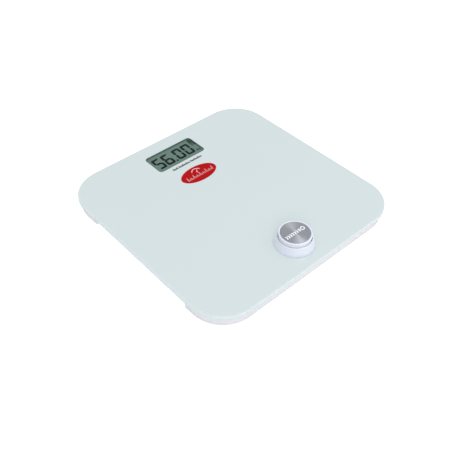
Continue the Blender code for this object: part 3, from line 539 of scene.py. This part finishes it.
# ------------------------------------------------------------------ glass platform
def glass_platform():
    face, edge, back, window_wall, band = range(5)
    profile = []        # (inset from the platform's side, z), from the bottom up
    for k in range(7):
        a = math.radians(15 * k)
        profile.append((UNDER_IN * (1 - math.sin(a)),
                        GLASS_BOTTOM + UNDER_RISE * (1 - math.cos(a))))
    for k in range(9):
        a = math.radians(90 - 11.25 * k)
        profile.append((EDGE_IN * (1 - math.sin(a)), GLASS_TOP - EDGE_DROP * (1 - math.cos(a))))
    profile.append((EDGE_IN + BORDER, GLASS_TOP))

    solid = bmesh.new()
    sides = []
    for inset, z in profile:
        half = GLASS_HALF - inset
        sides.append(ring(solid, rounded(half, half, GLASS_CORNER - inset, 28), z))
    for k in range(1, len(profile)):
        inset, z = profile[k][0], profile[k - 1][1]
        if inset > EDGE_IN + 0.1:
            slot = band
        elif z > GLASS_TOP - 0.5 * EDGE_DROP and inset > 0.3 * EDGE_IN:
            slot = face
        else:
            slot = edge
        wall(solid, sides[k - 1], sides[k], slot)

    hole = [ring(solid, circle(r, 96, *KNOB), z) for r, z in (
        (HOLE_R + HOLE_CHAMFER, GLASS_BOTTOM), (HOLE_R, GLASS_BOTTOM + HOLE_CHAMFER),
        (HOLE_R, GLASS_TOP - HOLE_CHAMFER), (HOLE_R + HOLE_CHAMFER, GLASS_TOP))]
    for lower, upper in zip(hole, hole[1:]):
        wall(solid, lower, upper, edge)
    opening = [ring(solid, window(0, 0), z) for z in (GLASS_BOTTOM, GLASS_TOP)]
    wall(solid, *opening, window_wall, smooth=False)
    cap(solid, [sides[0], hole[0], opening[0]], back, flip=True)
    cap(solid, [sides[-1], hole[-1], opening[1]], face)
    materials = [GLASS_FACE, GLASS_EDGE, GLASS_BACK, WINDOW_WALL, GLASS_BAND]
    return make(solid, "platform_glass", materials, "base", "glass_platform")


# ------------------------------------------------------------------ display
SEGMENT_THICK, SEGMENT_GAP = 3.4, 0.08
DIGIT_W, DIGIT_H = 12.4, 22.9
LIT_SEGMENTS = {"0": "abcdef", "5": "acdfg", "6": "acdefg"}
# each digit and its left side, from the row's start
DIGITS = (("5", -0.8), ("6", 13.7), ("0", 32.6), ("0", 47.6))
ROW_X, ROW_Y = WIN_X - 32.6, WIN_Y - 11.5
UNIT_X, UNIT_Y = ROW_X + 63.2, ROW_Y + 0.4
CHARGE_X, CHARGE_Y = WIN_X + 34.1, WIN_Y + 8.7


def digit(number, x, y):
    """Seven segments, mitred at the corners and pointed where they meet the middle one."""
    thick, gap = SEGMENT_THICK, SEGMENT_GAP
    half = cut = thick / 2
    w, h = DIGIT_W / 2, DIGIT_H / 2
    end = w - half - gap
    flat = [(w - gap - cut, h), (w - gap - cut / 2, h - cut / 2), (w - gap - thick, h - thick),
            (-w + gap + thick, h - thick), (-w + gap + cut / 2, h - cut / 2), (-w + gap + cut, h)]
    tall = [(w, h - gap - cut), (w - cut / 2, h - gap - cut / 2), (w - thick, h - gap - thick),
            (w - thick, gap + half), (w - half, gap), (w, gap + half)]
    bar = [(-end, 0), (half - end, -half), (end - half, -half),
           (end, 0), (end - half, half), (half - end, half)]
    # outline and its mirroring in x and y
    segments = {"a": (flat, 1, 1), "b": (tall, 1, 1), "c": (tall, 1, -1), "d": (flat, 1, -1),
                "e": (tall, -1, -1), "f": (tall, -1, 1), "g": (bar, 1, 1)}
    pieces = []
    for letter in LIT_SEGMENTS[number]:
        outline, side_x, side_y = segments[letter]
        pieces.append([(x + w + side_x * px, y + h + side_y * py) for px, py in outline])
    return pieces


def unit_mark():
    """The letters k and g."""
    arm = [(0.3, 1.35), (1.35, 2.75), (2.25, 2.75), (1.15, 1.35), (2.35, -0.05), (1.4, -0.05)]
    tail = [(4.05, 0.3), (4.7, 0.3), (4.7, -0.9), (4.2, -1.45),
            (2.7, -1.45), (2.7, -0.8), (3.85, -0.8), (4.05, -0.6)]
    bowl = (UNIT_X + 3.6, UNIT_Y + 1.3)
    return [rounded(0.6, 2.0, 0.15, 2, UNIT_X, UNIT_Y + 1.95),
            shifted(arm, UNIT_X, UNIT_Y),
            (rounded(1.1, 1.3, 0.6, 4, *bowl), [rounded(0.4, 0.52, 0.25, 4, *bowl)]),
            shifted(tail, UNIT_X, UNIT_Y)]


def charge_mark():
    """A stack of four growing bars in a battery outline."""
    bars = [rounded(2.3, 0.6 + 0.15 * i, 0.35, 2, CHARGE_X, CHARGE_Y - 4.6 + 2.65 * i)
            for i in range(4)]
    case = (CHARGE_X, CHARGE_Y - 0.6)
    return bars + [(rounded(3.2, 6.3, 0.9, 4, *case), [rounded(2.65, 5.75, 0.6, 4, *case)]),
                   rounded(1.8, 0.75, 0.3, 2, CHARGE_X, CHARGE_Y + 6.55)]


def display():
    slab("display_face", [window(0.12, 0.1)], (GLASS_BOTTOM + 0.3, LCD_TOP), LCD, "base")
    slab("display_window", [window(0.1, 0.1)], (GLASS_TOP - 1.0, GLASS_TOP - 0.03), PANE,
         "base")
    marks = []
    for number, offset in DIGITS:
        marks += digit(number, ROW_X + offset, ROW_Y)
    marks.append(rounded(1.45, 1.45, 0.35, 2, ROW_X + 29.0, ROW_Y + 1.5))     # decimal point
    marks += unit_mark()
    slab("display_digits", marks, SEGMENT_Z, SEGMENT, "base")
    slab("display_charge_mark", charge_mark(), SEGMENT_Z, SEGMENT, "base")


# ------------------------------------------------------------------ print on the glass
BADGE = BADGE_X, BADGE_Y = -1.9, 59.1


def printed_dashes():
    """A row of dashes in three groups, every third one taller."""
    start, foot, half, pitch, group_gap = -23.6, 83.5, 0.8, 2.08, 1.1
    dashes, x = [], start
    for group in (4, 9, 9):
        for k in range(group):
            tall = 1.9 if k % 3 == 0 else 1.35
            dashes.append(rounded(half, tall, 0.3, 2, x + half, foot + tall))
            x += pitch
        x += group_gap
    slab("printed_dashes", dashes, (PRINT_Z, PRINT_Z + 0.03), GREY_PRINT, "base")


def badge():
    """A red oval with a plain gauge sign over a graduated scale."""
    slab("badge_field", [ellipse(27.2, 14.5, 120, *BADGE)], (PRINT_Z, PRINT_Z + 0.04), RED_PRINT,
         "base")
    pivot_x, pivot_y = BADGE_X, BADGE_Y + 3.6
    turns = [math.radians(20 + 7 * i) for i in range(21)]
    arc = [(pivot_x + r * math.cos(a), pivot_y + r * math.sin(a))
           for r, angles in ((7.4, turns), (6.4, turns[::-1])) for a in angles]
    needle = shifted([(-0.6, 3.4), (0.6, 3.4), (3.3, 8.6), (2.8, 8.9)], *BADGE)
    motif = [arc, needle, rounded(1.1, 1.1, 1.0, 5, pivot_x, pivot_y)]
    for k in range(17):
        tall = 7.0 if k % 4 == 0 else 4.4 if k % 2 == 0 else 2.6
        lean = 0.12 * tall
        tick = [(-0.34, 0), (0.34, 0), (0.34 + lean, tall), (-0.34 + lean, tall)]
        motif.append(shifted(tick, BADGE_X - 20.0 + 2.5 * k, BADGE_Y - 5.4))
    slab("badge_bars", motif, (PRINT_Z + 0.05, PRINT_Z + 0.08), WHITE_PRINT, "base")


# ------------------------------------------------------------------ knob
def knob_ring():
    """The fixed collar, hollow from below, that the button moves in."""
    bore_r, shelf_z = 20.25, 17.6
    foot = GLASS_TOP
    outside = smooth_curve([        # (r, z), from the glass up to the lip
        (COLLAR_R - 0.22, foot + 0.2), (COLLAR_R, foot + 0.5), (COLLAR_R, foot + 1.5),
        (23.9, foot + 3.4), (23.2, foot + 5.6), (22.45, foot + 7.9), (21.75, foot + 10.1),
        (21.35, LIP_Z - 0.45), (21.05, LIP_Z - 0.1), (20.75, LIP_Z),
        (20.45, LIP_Z - 0.12), (20.27, LIP_Z - 0.5)], steps=5)
    inside = [(bore_r, shelf_z), (14.8, shelf_z), (14.8, 16.2), (21.25, 16.2),
              (21.25, foot + 0.7), (23.5, foot + 0.7), (23.5, foot + 0.2)]
    # the bore above the shelf, seen in the groove, takes the painted shade and painted glow
    return lathe("knob_ring", outside + inside, [KNOB_WHITE, KNOB_GROOVE_SHADE_GLOW], "base", KNOB, 144,
                 "knob_collar", closed=True,
                 pick=lambda r, z: int(r < bore_r + 0.05 and z > shelf_z + 0.1))


def knob_button():
    """The moving cap: a raised rim round a recess, and a skirt below."""
    top, skirt_r, skirt_z = KNOB_TOP, 19.35, 25.6
    rim = smooth_curve([            # (r, z), from the recess out and down
        (17.95, top - 0.45), (18.05, top - 0.2), (18.4, top - 0.02), (18.8, top),
        (19.3, top - 0.1), (19.68, top - 0.38), (19.86, top - 0.8),
        (CAP_R, top - 1.3), (CAP_R, top - 2.4)], steps=4)
    skirt = [(19.75, top - 2.9), (skirt_r, top - 3.15), (skirt_r, skirt_z), (17.2, skirt_z),
             (17.2, top - 2.6), (0, top - 2.6)]
    # the skirt under the rim, seen in the groove, takes the painted shade and painted glow
    return lathe("knob_button", [(0, top - 1.4), (17.95, top - 1.4)] + rim + skirt,
                 [KNOB_WHITE, KNOB_GROOVE_SHADE_GLOW], "knob", KNOB, 144, "knob_cap",
                 pick=lambda r, z: int(r > skirt_r - 0.05 and z < top - 2.6))


def knob_face():
    top = KNOB_TOP
    profile = [(0, top - 1.3), (17.6, top - 1.3), (17.7, top - 1.1), (17.7, top - 0.4),
               (17.62, top - 0.27), (17.45, top - 0.2), (0, top - 0.2)]
    return lathe("knob_face", profile, [SPUN], "knob", KNOB, 144, "knob_disc",
                 angle=30)


def knob_mark():
    """Plain press mark on the metal face: six chevrons, a ring and a bar."""
    y = KNOB_Y - 0.3
    chevron = [(0, -2.3), (1.7, -2.3), (3.1, 0), (1.7, 2.3), (0, 2.3), (1.4, 0)]
    marks = [shifted(chevron, KNOB_X - 15.4 + 3.25 * i, y) for i in range(6)]
    marks.append((circle(3.0, 28, KNOB_X + 11.2, y), [circle(1.7, 28, KNOB_X + 11.2, y)]))
    marks.append(rounded(1.0, 2.3, 0.3, 2, KNOB_X + 6.1, y))
    slab("knob_mark", marks, (KNOB_TOP - 0.18, KNOB_TOP - 0.14), KNOB_PRINT, "knob")


def return_spring():
    """A coil with closed ends, which shortens with the knob."""
    low, high = span("return_spring")
    bottom, top = low[2], high[2]
    wire, coil_r = 0.55, 15.65
    turns, closed_turns, per_turn, sides = 5.0, 0.75, 28, 10
    all_turns = turns + 2 * closed_turns
    end_rise = 0.12         # climb per turn in the closed ends
    rise = top - bottom - 2 * wire
    solid = bmesh.new()
    loops = []
    for i in range(int(all_turns * per_turn) + 1):
        t = i / per_turn
        if t < closed_turns:
            z = bottom + wire + end_rise * t
        elif t > turns + closed_turns:
            z = top - wire - end_rise * (all_turns - t)
        else:
            end = end_rise * closed_turns
            z = bottom + wire + end + (rise - 2 * end) * (t - closed_turns) / turns
        a = 2 * math.pi * t
        loop = []
        for k in range(sides):
            q = 2 * math.pi * k / sides
            r = coil_r + wire * math.cos(q)
            loop.append(solid.verts.new((KNOB_X + r * math.cos(a), KNOB_Y + r * math.sin(a),
                                         z + wire * math.sin(q))))
        loops.append(loop)
    for first, second in zip(loops, loops[1:]):
        wall(solid, first, second)
    solid.faces.new(loops[0][::-1])
    solid.faces.new(loops[-1])
    spring = make(solid, "coil_spring", [SPRING_WIRE], "base", "return_spring",
                  angle=50)
    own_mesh(spring)


# ------------------------------------------------------------------ underside
def foot_pad(corner):
    """A rubber pad with two ring grooves and a hollow centre in its tread."""
    tread = [(0, 0.35), (2.0, 0.35), (2.3, 0.0), (4.4, 0.0), (4.7, 0.35), (5.6, 0.35),
             (5.9, 0.0), (7.9, 0.0), (8.2, 0.35), (9.1, 0.35), (9.4, 0.0), (12.5, 0.0)]
    edge = smooth_curve([(12.5, 0.0), (12.95, 0.08), (13.25, 0.32), (13.4, 0.75),
                         (13.4, 1.5), (13.3, 1.8)], steps=3)[1:]
    back = [(13.08, 1.8), (13.05, 1.45), (0, 1.45)]
    node = f"foot_pad_{corner}"
    lathe(f"rubber_pad_{corner}", tread + edge + back, [RUBBER], f"{corner}_foot",
          middle(*span(node)), 72, node, angle=40)


def label_lines():
    low, high = span("rating_label")
    x, y = middle(low, high)
    lines = [rounded(width / 2, 0.9, 0.4, 2, x, y + 10.5 - 6.5 * i)
             for i, width in enumerate((44, 56, 38, 50))]
    slab("label_lines", lines, (low[2] - 0.05, low[2] - 0.02), GREY_PRINT, "base")


# ------------------------------------------------------------------ CAD pieces that stay
# material, smoothing angle in degrees, edge bevel, nodes (* stands for each corner)
FINISH = (
    (TRAY, 30, 0.25, "base_tray"),
    (TRAY, 32, 0.12, "unit_button"),
    (TRAY, 32, 0.18, "foot_*"),
    (INNER, 32, 0.1, "gear_frame_left gear_frame_right"),
    (INNER, 30, 0.15, "cell_holder_*"),
    (TAPE, 30, 0, "bonding_tape collar_seal"),
    (LABEL, 30, 0, "rating_label"),
    (BOARD, 30, 0.1, "main_board"),
    (RESIN, 40, 0, "processor_blob"),
    (BLACK, 30, 0.15, "rectifier display_frame"),
    (BLACK, 30, 0.1, "tact_switch"),
    (SLEEVE, 35, 0, "reservoir_capacitor"),
    (LCD, 30, 0.1, "lcd_panel"),
    (STRIPED, 30, 0, "zebra_strip"),
    (BRIGHT, 35, 0.12, "board_screw_left board_screw_right"),
    (BRIGHT, 35, 0.12, "collar_screw_1 collar_screw_2 collar_screw_3"),
    (BRIGHT, 35, 0.1, "frame_screw_1 frame_screw_2"),
    (BRIGHT, 35, 0.08, "first_axle second_axle"),
    (BRIGHT, 30, 0, "rotor_shaft"),
    (MAGNET, 35, 0.05, "rotor_magnet"),
    (COPPER, 35, 0, "stator_coil"),
    (STEEL, 35, 0.05, "stator_can"),
    (STEEL, 30, 0.08, "load_cell_*"),
    (CABLE, 60, 0, "generator_cable cell_cable_*"),
    (ACETAL, 30, 0, "knob_rack first_gear second_gear"),
)


@functools.cache
def smooth_group(degrees):
    """A node group that shades smooth and keeps edges sharper than the angle."""
    tree = bpy.data.node_groups.new(f"smooth_{degrees}", "GeometryNodeTree")
    for way in ("INPUT", "OUTPUT"):
        tree.interface.new_socket("Geometry", in_out=way, socket_type="NodeSocketGeometry")
    group = Nodes(tree)
    source = group.node("NodeGroupInput").outputs[0]
    smooth = group.node("GeometryNodeSetShadeSmooth", {0: source}, domain="FACE")
    angle = group.node("GeometryNodeInputMeshEdgeAngle").outputs[0]
    sharp = group.node("FunctionNodeCompare", {0: angle, 1: math.radians(degrees)},
                       data_type="FLOAT", operation="GREATER_THAN")
    edges = group.node("GeometryNodeSetShadeSmooth", {
        0: smooth.outputs[0], "Selection": sharp.outputs[0], "Shade Smooth": False},
        domain="EDGE")
    group.node("NodeGroupOutput", {0: edges.outputs[0]})
    return tree


def polish(piece, material, degrees, bevel):
    """Welds a CAD piece, breaks its edges finely and shades it smooth by angle."""
    if "custom_normal" in piece.data.attributes:
        piece.data.attributes.remove(piece.data.attributes["custom_normal"])
    piece.data.materials.clear()
    piece.data.materials.append(material)
    piece.modifiers.new("weld", "WELD").merge_threshold = 2e-6
    if bevel:
        edge = piece.modifiers.new("edge", "BEVEL")
        edge.width = bevel * MM
        edge.segments = 2
        edge.limit_method = "ANGLE"
        edge.angle_limit = math.radians(degrees)
    piece.modifiers.new("smooth", "NODES").node_group = smooth_group(degrees)


def polish_all():
    for material, degrees, bevel, names in FINISH:
        for name in names.split():
            for corner in CORNERS if "*" in name else ("",):
                polish(nodes[name.replace("*", corner)], material, degrees, bevel)


# ------------------------------------------------------------------ floor, light and camera
# lengths from here on are metres
def floor():
    half, z = 6, -0.0003
    solid = bmesh.new()
    square = ((-half, -half), (half, -half), (half, half), (-half, half))
    solid.faces.new(ring(solid, square, z))
    mesh = bpy.data.meshes.new("floor")
    solid.to_mesh(mesh)
    solid.free()
    made = add_object("floor", mesh)
    paint = Paint("pale_floor", (0.80, 0.80, 0.80), rough=0.7, Specular_IOR_Level=0.0,
                  Emission_Color=(1, 1, 1))
    glow = 0.70     # seen by the camera only
    camera_ray = paint.node("ShaderNodeLightPath").outputs["Is Camera Ray"]
    paint.set(Emission_Strength=paint.math("MULTIPLY", camera_ray, glow))
    mesh.materials.append(paint.material)


def studio_world():
    """White to the camera, and a softer light on the pieces."""
    world = bpy.data.worlds.new("studio")
    bpy.context.scene.world = world
    studio = blank(world)
    seen = studio.node("ShaderNodeBackground", {"Color": (1, 1, 1), "Strength": 1.0})
    light = studio.node("ShaderNodeBackground", {"Color": (0.985, 0.99, 1.0), "Strength": 0.78})
    camera_ray = studio.node("ShaderNodeLightPath").outputs["Is Camera Ray"]
    inputs = {0: camera_ray, 1: light.outputs[0], 2: seen.outputs[0]}
    mixed = studio.node("ShaderNodeMixShader", inputs)
    studio.node("ShaderNodeOutputWorld", {0: mixed.outputs[0]})


def area_lamp(name, place, power, **shape):
    data = bpy.data.lights.new(name, "AREA")
    data.energy = power
    for key, value in shape.items():
        setattr(data, key, value)
    lamp = add_object(name, data)
    lamp.location = place
    return lamp


def softbox(name, place, size, power):
    """A round lamp turned towards the scale."""
    lamp = area_lamp(name, place, power, shape="DISK", size=size)
    aim = Vector((0, 0, 0.02)) - Vector(place)
    lamp.rotation_mode = "QUATERNION"
    lamp.rotation_quaternion = aim.to_track_quat("-Z", "Y")
    return lamp


def low_strip(name, place, length, turn, power):
    """A long lamp level with the platform's side, so that only the sides and floor catch it."""
    lamp = area_lamp(name, place, power, shape="RECTANGLE", size=length, size_y=0.018)
    lamp.rotation_euler = (math.radians(90), 0, math.radians(turn))
    lamp.visible_camera = False
    lamp.visible_glossy = False


def restrict(lamp, piece, state, clear_of=()):
    """Lights only this piece, or all but it. Pieces in clear_of cast no shadow from the lamp."""
    for kind, members, mark in (("receiver_collection", (piece,), state),
                                ("blocker_collection", clear_of, "EXCLUDE")):
        if not members:
            continue
        group = bpy.data.collections.new(f"{lamp.name}_{kind}")
        for member in members:
            group.objects.link(member)
        setattr(lamp.light_linking, kind, group)
        for entry in group.collection_objects:
            entry.light_linking.link_state = mark


def lights(glass, collar, button, face):
    """The key is doubled, so that the knob casts no shadow on the glass."""
    key = dict(place=(1.13, -1.45, 3.60), size=1.9, power=36.0)
    restrict(softbox("key", **key), glass, "EXCLUDE")
    restrict(softbox("key_on_glass", **key), glass, "INCLUDE",
             clear_of=(collar, button, face, nodes["knob_rack"]))
    softbox("fill", place=(-1.50, -1.90, 1.50), size=1.7, power=13.0)
    cap_light = softbox("cap_light", place=(1.01, -1.02, 0.66), size=0.8, power=1.6)
    restrict(cap_light, button, "INCLUDE")
    low_strip("left_strip", place=(-0.19, -0.003, 0.0102), length=0.17, turn=-90, power=0.003)
    low_strip("front_strip", place=(0.02, -0.24, 0.0102), length=0.20, turn=0, power=0.004)


def camera():
    """Looks down on the scale from its -X, -Y side."""
    place = (-0.40666, -0.44947, 0.55808)
    yaw, pitch, roll = (math.radians(v) for v in (48.474, 44.230, -0.029))
    data = bpy.data.cameras.new("camera")
    made = add_object("camera", data)
    data.sensor_width = 36.0
    data.lens = 51.4552
    data.clip_start = 0.01
    data.clip_end = 50
    ahead = Vector((math.cos(yaw) * math.cos(pitch), math.sin(yaw) * math.cos(pitch),
                    -math.sin(pitch)))
    level = Vector((math.sin(yaw), -math.cos(yaw), 0))
    above = level.cross(ahead)
    right = level * math.cos(roll) + above * math.sin(roll)
    up = -level * math.sin(roll) + above * math.cos(roll)
    pose = Matrix((right, up, -ahead)).transposed().to_4x4()
    pose.translation = place
    made.matrix_world = pose
    bpy.context.scene.camera = made
    bpy.context.scene.view_settings.view_transform = "Standard"


# ------------------------------------------------------------------ build
glass = glass_platform()
display()
printed_dashes()
badge()
knob_parts = (knob_ring(), knob_button(), knob_face())
knob_mark()
return_spring()
for corner in CORNERS:
    foot_pad(corner)
label_lines()
polish_all()
floor()
studio_world()
lights(glass, *knob_parts)
camera()

bpy.context.view_layer.update()
